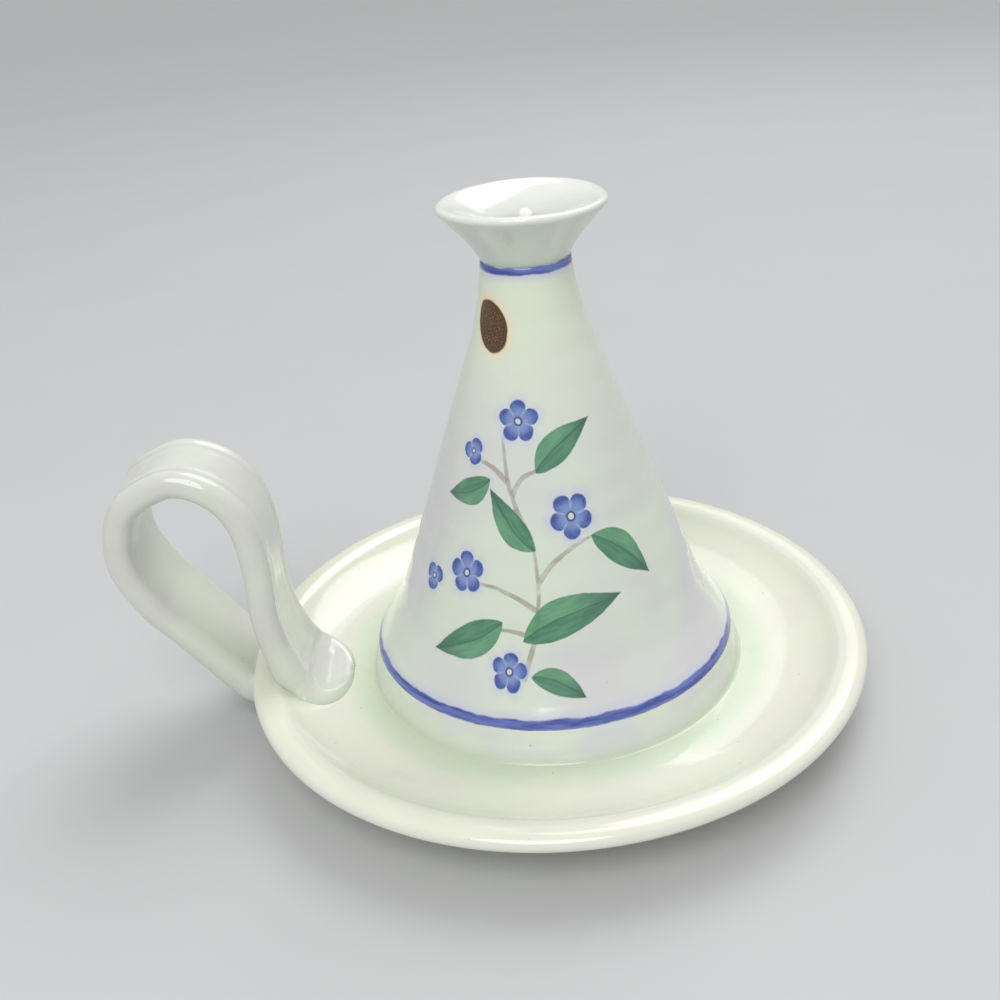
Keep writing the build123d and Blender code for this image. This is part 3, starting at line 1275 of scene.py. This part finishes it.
@dataclass
class StrapHandle(Piece):
    """The pulled strap: thumbed tongue, upright leg, loop, and the root tucked under the lip."""

    node: str = "strap_handle"
    slot: Slot = Slot.HANDLE
    finishes: Finishes = (
        StonewareGlaze(
            "handle_glaze",
            body=dye(216, 222, 207),
            thin=dye(231, 232, 222),
            pooled=dye(192, 206, 183),
            drift=dye(214, 214, 208),
            drift_grain=26 * MM,
            peel_grain=2.6 * MM,
        ),
    )
    lip_radius: float = 95 * MM
    lip_width: float = 8.4 * MM
    lip_thickness: float = 4.8 * MM
    lip_height: float = 20 * MM
    floor_height: float = 12.4 * MM
    dish_bend: float = 66.7 * MM
    strap_width: float = 32 * MM
    strap_thickness: float = 8.5 * MM
    root_width: float = 33 * MM
    leg_radius: float = 85.3 * MM
    tongue_run: float = 20.3 * MM
    loop_run: float = 38.8 * MM
    loop_rise: float = 67.5 * MM
    swell_rise: float = 21 * MM
    side_slip: float = 6.1 * MM
    corner_share: float = 0.47
    pad_round: float = 9 * MM
    edge_round: float = 5 * MM
    tip_start: float = 0.15 * MM
    heel_share: float = 0.55
    heel_place: Span = mm(15, 8)
    bowl_fade: Span = mm(26, 12)
    rim_shares: Span = (0.2, 0.52, 0.88)  # inside on the leg, inside on the tongue, and outside
    groove_shares: Span = (0.6, 0.07)
    streak_height: float = 0.07 * MM
    streak_length: float = 60 * MM
    fillet: float = 2 * MM
    fillet_fade: float = 16 * MM
    pool_reach: float = 1.6 * MM
    around: int = 96
    ring_gap: float = 0.7 * MM
    ease_rings: int = 5
    # Run inwards and rise as shares, width, thickness and slip as shares, hollow and bead depth
    tongue_share_rows: tuple = (
        (0.97, 0.02, 1.01, 0.4, -0.5, 0.02, 0.0),
        (0.83, 0.035, 1.01, 0.46, -0.5, 0.24, 0.0),
        (0.655, 0.075, 1.0, 0.58, -0.5, 0.36, 0.0),
        (0.455, 0.19, 0.99, 0.78, -0.5, 0.26, 0.0),
        (0.3, 0.37, 0.97, 0.98, -0.5, 0.15, 0.0),
        (0.165, 0.63, 0.96, 1.06, -0.5, 0.09, 0.01),
        (0.054, 0.99, 0.95, 1.04, -0.5, 0.05, 0.03),
    )
    loop_share_rows: tuple = (
        (0.005, 0.356, 1.0, 1.0, -0.49, 0.05, 0.04),
        (-0.003, 0.586, 0.97, 1.0, -0.42, 0.04, 0.045),
        (0.051, 0.805, 0.96, 1.0, -0.33, 0.04, 0.045),
        (0.211, 0.936, 0.93, 1.0, -0.24, 0.04, 0.045),
        (0.468, 1.0, 0.89, 1.0, -0.14, 0.04, 0.045),
        (0.699, 0.966, 0.89, 1.0, -0.03, 0.04, 0.045),
        (0.892, 0.886, 0.95, 1.0, 0.14, 0.04, 0.045),
        (0.99, 0.748, 1.01, 1.0, 0.32, 0.04, 0.045),
        (0.997, 0.6, 1.03, 1.0, 0.38, 0.04, 0.045),
        (0.861, 0.404, 1.03, 1.0, 0.43, 0.04, 0.04),
        (0.679, 0.258, 1.02, 1.01, 0.46, 0.04, 0.03),
    )
    root_share_rows: tuple = (
        (1.143, 1.56, 0.98, 1.05, 0.48, 0.05, 0.02),
        (0.429, -0.21, 0.97, 1.12, 0.5, 0.06, 0.01),
        (-0.024, -1.17, 0.98, 1.08, 0.5, 0.06, 0.0),
        (-0.524, -1.6, 0.96, 0.76, 0.5, 0.06, 0.0),
        (-1.05, -1.54, 0.9, 0.38, 0.5, 0.06, 0.0),
    )

    def stations(self) -> list[Station]:
        """Turns the rows of shares into places and sections.

        Returns:
            The stations from the tongue's tip to the root's end.
        """
        leg, lip, broad = -self.leg_radius, self.lip_height, self.root_width
        stretches = (
            (self.tongue_share_rows, leg, self.tongue_run, self.floor_height, self.swell_rise, broad),
            (self.loop_share_rows, leg, -self.loop_run, lip, self.loop_rise, self.strap_width),
            (self.root_share_rows, -self.lip_radius, -self.lip_width, lip, self.lip_thickness, broad),
        )
        made = []
        for rows, start, whole_run, foot, whole_rise, whole_width in stretches:
            for run, rise, width, thick, slip, *hollows in rows:
                middle = (start + run * whole_run, slip * self.side_slip, foot + rise * whole_rise)
                sizes = (width * whole_width, thick * self.strap_thickness, *hollows)
                made.append(Station(Vector(middle), *sizes))
        return made

    def route(self) -> list[Station]:
        """Fills in sections between the stations along one smooth line.

        Returns:
            Sections about one ring gap apart.
        """
        given = self.stations()
        ends = [given[0], *given, given[-1]]
        filled = []
        for before, start, end, after in zip(ends, ends[1:], ends[2:], ends[3:]):
            chord = (end.middle - start.middle).length
            leave = start.middle + (end.middle - before.middle).normalized() * chord / 3
            arrive = end.middle - (after.middle - start.middle).normalized() * chord / 3
            count = max(2, round(chord / self.ring_gap))
            line = interpolate_bezier(start.middle, leave, arrive, end.middle, count + 1)
            for step, place in enumerate(line[:-1]):
                soft = ease(step / count, 0.0, 1.0)
                sizes = (first + (last - first) * soft for first, last in zip(start[1:], end[1:]))
                filled.append(Station(place, *sizes))
        return [*filled, given[-1]]

    def section(self, at: Station, along: float, turn: float) -> tuple[float, float]:
        """Gives one point of the strap's section.

        Args:
            at: The station.
            along: How far along the strap it is.
            turn: The point's angle round the section; the outer face is from 0 to half a turn.

        Returns:
            How far the point lies across the strap and out of its middle.
        """
        across = math.cos(turn)
        side = math.sin(math.pi / 2 * abs(across)) ** 0.9
        reach = math.copysign(side, across)
        half_width, corner = at.width / 2, self.corner_share * at.thickness
        dip = max(0.0, corner - (1 - side) * half_width)
        thick = at.thickness / 2 - corner + math.sqrt(max(0.0, corner * corner - dip * dip))
        if math.sin(turn) < 0:
            middle, spread = self.heel_place
            return reach * half_width, -thick * (1 + self.heel_share * hump(along - middle, spread))
        narrow, wide, outside = self.rim_shares
        rim = narrow + (wide - narrow) * ease(along, *self.bowl_fade)
        bowl = at.hollow * at.thickness * ease(side, outside, rim)
        groove = at.bead * at.thickness * hump(side - self.groove_shares[0], self.groove_shares[1])
        streak = self.streak_height * ripple(Vector((reach * 6.0, along / self.streak_length, 3.0)), 1.0)
        return reach * half_width, thick - bowl - groove + streak * ease(side, 1.0, 0.8)

    def shape(self) -> Mesh:
        """Pulls the strap: one section, extruded ring by ring along the route.

        Returns:
            The closed strap.
        """
        mesh = bmesh.new()
        number = mesh.verts.layers.int.new("around")
        ring = bmesh.ops.create_circle(mesh, cap_ends=False, radius=MM, segments=self.around)["verts"]
        for index, vertex in enumerate(ring):
            vertex[number] = index
        edges = list(dict.fromkeys(edge for vertex in ring for edge in vertex.link_edges))
        first_edges = list(edges)
        route = self.route()
        along = 0.0
        for place, at in enumerate(route):
            reach = min(self.ease_rings, place, len(route) - 1 - place) or 1
            back, ahead = max(0, place - reach), min(len(route) - 1, place + reach)
            forward = (route[ahead].middle - route[back].middle).normalized()
            side = (Vector((0, 1, 0)) - forward * forward.y).normalized()
            out = side.cross(forward)
            if place:
                along += (at.middle - route[place - 1].middle).length
                grown = bmesh.ops.extrude_edge_only(mesh, edges=edges)["geom"]
                ring = [part for part in grown if isinstance(part, bmesh.types.BMVert)]
                edges = [part for part in grown if isinstance(part, bmesh.types.BMEdge)]
                kept = set(ring)
                edges = [edge for edge in edges if edge.verts[0] in kept and edge.verts[1] in kept]
            wide, high = self.swell(along, self.pad_round), self.swell(along, self.edge_round)
            for vertex in ring:
                across, lift = self.section(at, along, FULL_TURN * vertex[number] / self.around)
                vertex.co = at.middle + side * across * wide + out * lift * high
        for loop in (first_edges, edges):
            bmesh.ops.edgeloop_fill(mesh, edges=loop)
        bmesh.ops.triangulate(mesh, faces=[face for face in mesh.faces if len(face.verts) > 4])
        bmesh.ops.recalc_face_normals(mesh, faces=mesh.faces)
        self.blend_in(mesh)
        return mesh

    def swell(self, along: float, reach: float) -> float:
        """Grows round from the tongue's tip to full size at a reach."""
        return math.sqrt(max(0.0, 1 - (1 - min(1.0, (along + self.tip_start) / reach)) ** 2))

    def dish_height(self, radius: float) -> float:
        """Height of the dish under the tongue at a radius."""
        climb = max(0.0, radius - self.dish_bend) / (self.lip_radius - self.lip_width - self.dish_bend)
        return self.floor_height + (self.lip_height - self.floor_height) * min(1.0, climb) ** 2.1

    def blend_in(self, mesh: Mesh) -> None:
        """Smooths the tongue's edge out into the dish, as a wet finger would.

        Args:
            mesh: The closed strap, whose lowest vertices are moved.
        """
        inner, fade = self.lip_radius - self.lip_width, self.lip_radius - self.fillet_fade
        full = 2 * self.fillet
        mesh.normal_update()
        for vertex in mesh.verts:
            radius = math.hypot(vertex.co.x, vertex.co.y)
            above = vertex.co.z - self.dish_height(radius)
            if radius < inner and above < full:
                share = (1 - max(0.0, above) / full) * ease(radius, inner, fade)
                flat = Vector((vertex.normal.x, vertex.normal.y, 0.0))
                vertex.co += flat * self.fillet * share * share

    def depth(self, place: Vector) -> float:
        """Glaze gathers where the tongue meets the dish.

        Args:
            place: Where the depth is read.

        Returns:
            The depth.
        """
        radius = math.hypot(place.x, place.y)
        if radius > self.lip_radius - self.lip_width:
            return 0.0
        return 0.6 * hump(place.z - self.dish_height(radius), self.pool_reach)


@dataclass
class Studio:
    """The pale table, the soft lamps and the camera."""

    eye: tuple[float, float, float] = (-0.014126, -0.311078, 0.229424)
    yaw: float = 0.00356
    pitch: float = 0.48246
    roll: float = -0.09534
    lens_share: float = 1.1808
    near: float = 10 * MM
    aim_height: float = 60 * MM
    floor_half: float = 6.0
    floor_colour: Colour = dye(196, 197, 198)
    cloud_colour: Colour = dye(190, 191, 193)
    cloud_grain: float = 60 * MM
    floor_roughness: float = 0.85
    sun_strength: float = 0.9
    sun_angle: float = 0.7
    sun_way: tuple[float, float, float] = (-0.35, -0.55, -1.0)
    sky_strength: float = 0.52
    sky_colour: Colour = (1.0, 1.0, 1.0, 1.0)
    # Each lamp's name, place, width and power in watts
    lamps: tuple = (
        ("back_lamp", (0.35, 0.75, 0.95), 0.95, 2.4),
        ("front_lamp", (-0.2, -0.85, 1.0), 0.85, 7.5),
    )

    def camera(self) -> None:
        """Sets the camera where the picture was taken from."""
        data = bpy.data.cameras.new("camera")
        data.lens = self.lens_share * data.sensor_width
        data.clip_start = self.near
        view = set_down("camera", data)
        turn = Matrix.Rotation(-self.yaw, 4, "Z") @ Matrix.Rotation(math.pi / 2 - self.pitch, 4, "X")
        view.matrix_world = Matrix.Translation(self.eye) @ turn @ Matrix.Rotation(self.roll, 4, "Z")
        bpy.context.scene.camera = view

    def floor(self) -> None:
        """Lays the pale table."""
        mesh = bmesh.new()
        bmesh.ops.create_grid(mesh, x_segments=4, y_segments=4, size=self.floor_half)
        data = bpy.data.meshes.new("table_top")
        mesh.to_mesh(data)
        mesh.free()
        brush = Brush("table_top", self.floor_colour)
        brush.cover((brush.mottle(brush.place, self.cloud_grain), 0.2, 0.8, 0.25, self.cloud_colour))
        brush.dress(Base_Color=brush.colour, Roughness=self.floor_roughness)
        data.materials.append(brush.material)
        set_down("table_top", data)

    def lamp(self, name: str, place: tuple[float, float, float], size: float, power: float) -> None:
        """Hangs one soft round lamp that faces the piece.

        Args:
            name: The lamp's name.
            place: Where it hangs.
            size: Its width.
            power: Its power in watts.
        """
        data = bpy.data.lights.new(name, "AREA")
        data.shape, data.size, data.energy = "DISK", size, power
        hung = set_down(name, data)
        hung.location = place
        way = Vector((0.0, 0.0, self.aim_height)) - Vector(place)
        hung.rotation_euler = way.to_track_quat("-Z", "Y").to_euler()

    def sun(self) -> None:
        """Lights the whole table evenly from behind, high up and to the right."""
        data = bpy.data.lights.new("window", "SUN")
        data.energy, data.angle = self.sun_strength, self.sun_angle
        set_down("window", data).rotation_euler = Vector(self.sun_way).to_track_quat("-Z", "Y").to_euler()

    def world(self) -> None:
        """Lights the shadows with a plain pale sky."""
        sky = bpy.data.worlds.new("sky")
        sky.use_nodes = True
        back = sky.node_tree.nodes["Background"]
        back.inputs["Color"].default_value = self.sky_colour
        back.inputs["Strength"].default_value = self.sky_strength
        bpy.context.scene.world = sky

    def set_up(self) -> None:
        """Sets the camera, the table and the lamps, and keeps the picture's colours plain."""
        self.camera()
        self.floor()
        self.world()
        self.sun()
        for name, place, size, power in self.lamps:
            self.lamp(name, place, size, power)
        bpy.context.scene.view_settings.view_transform = "Standard"


def main() -> None:
    """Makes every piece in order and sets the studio."""
    logging.basicConfig(level=logging.INFO)
    Studio().set_up()
    for maker in (Saucer(), StemCone(), FootCoil(), CandleCup(), StrapHandle()):
        piece = maker.make()
        log.info("made %s", piece.name)


if __name__ == "__main__":
    main()
